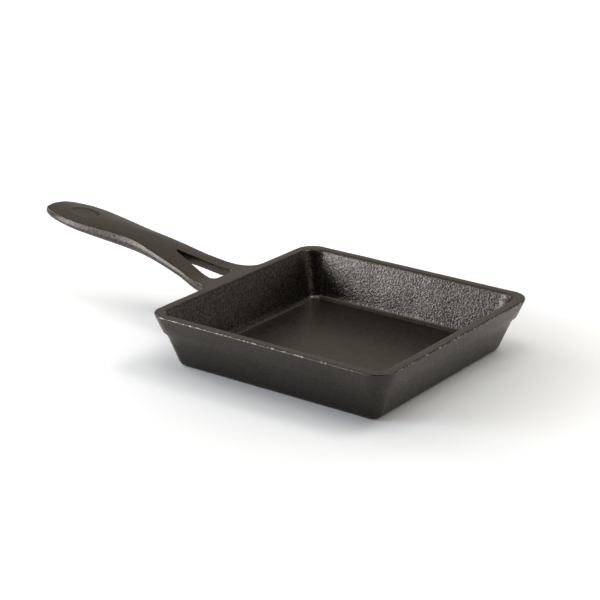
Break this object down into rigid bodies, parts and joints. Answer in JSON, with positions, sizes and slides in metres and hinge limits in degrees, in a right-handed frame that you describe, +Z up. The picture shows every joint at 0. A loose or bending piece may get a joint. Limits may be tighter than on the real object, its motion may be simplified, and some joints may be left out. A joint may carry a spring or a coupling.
{
  "type": "square cast iron pan",
  "caption": "Small square cast iron frying pan with a flat thick rim, tapered walls and a rising forked handle with a triangular opening.",
  "frame": {"origin": "centre of the flat underside of the pan", "axes": "+Z up out of the pan, -X along the handle to its tip, Y across the handle"},
  "size_m": [0.265, 0.14, 0.0456],
  "materials": {
    "seasoned_iron": "seasoned cast iron, satin brown-black, fine pebble of the mould on the cavity walls"
  },
  "bodies": {
    "root": {"pan_base": "seasoned_iron", "pan_wall": "seasoned_iron", "rim_band": "seasoned_iron", "handle_fork": "seasoned_iron", "handle_grip": "seasoned_iron"}
  },
  "joints": []
}
